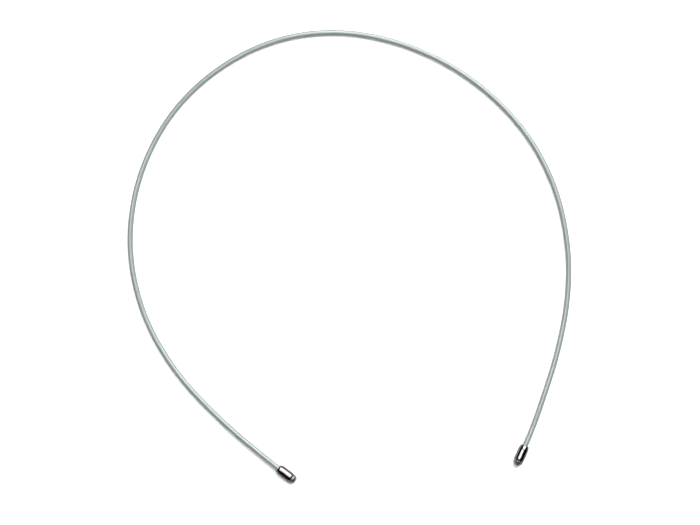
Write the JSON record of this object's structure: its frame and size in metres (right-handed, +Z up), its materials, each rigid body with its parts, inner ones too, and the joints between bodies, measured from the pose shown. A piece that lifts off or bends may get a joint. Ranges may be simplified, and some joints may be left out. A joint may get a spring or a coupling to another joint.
{
  "type": "interchangeable circular knitting needle cable",
  "caption": "Clear flexible nylon cord in an open loop with a short plated metal connector on each end, tapped for a screw-in knitting needle tip.",
  "frame": {"origin": "on the table, under the middle of the cable's bounding box", "axes": "+X to the right and +Y to the closed top of the loop, seen from above; +Z up from the table. The two connectors are at -Y"},
  "size_m": [0.1691, 0.1726, 0.0038],
  "materials": {
    "clear_nylon": "clear, glossy, faint green-grey tint",
    "plated_metal": "polished nickel plate on brass",
    "ring_brass": "turned, unplated"
  },
  "bodies": {
    "root": {"cord": "clear_nylon", "left_sleeve": "plated_metal", "left_end_bush": "plated_metal", "left_grip_ring": "ring_brass", "right_sleeve": "plated_metal", "right_end_bush": "plated_metal", "right_grip_ring": "ring_brass"}
  },
  "joints": []
}
